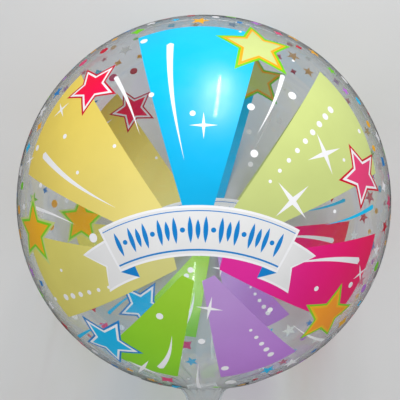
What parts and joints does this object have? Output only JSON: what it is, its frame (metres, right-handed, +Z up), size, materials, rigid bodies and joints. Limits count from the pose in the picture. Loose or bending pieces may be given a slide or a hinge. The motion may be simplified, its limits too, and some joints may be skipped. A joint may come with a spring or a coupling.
{
  "type": "clear bubble balloon",
  "caption": "Ball-shaped clear film balloon with a printed burst, a banner and stars, a welded middle seam and a flat fill tail.",
  "frame": {"origin": "middle of the small flat spot that the balloon rests on", "axes": "+Z up through the middle of the printed front sheet, +Y away from the fill tail, +X to the right of the print"},
  "size_m": [0.5622, 0.654, 0.5574],
  "materials": {
    "clear_film": "clear, glossy, tightly stretched film"
  },
  "bodies": {
    "root": {"balloon_envelope": "clear_film"}
  },
  "joints": []
}
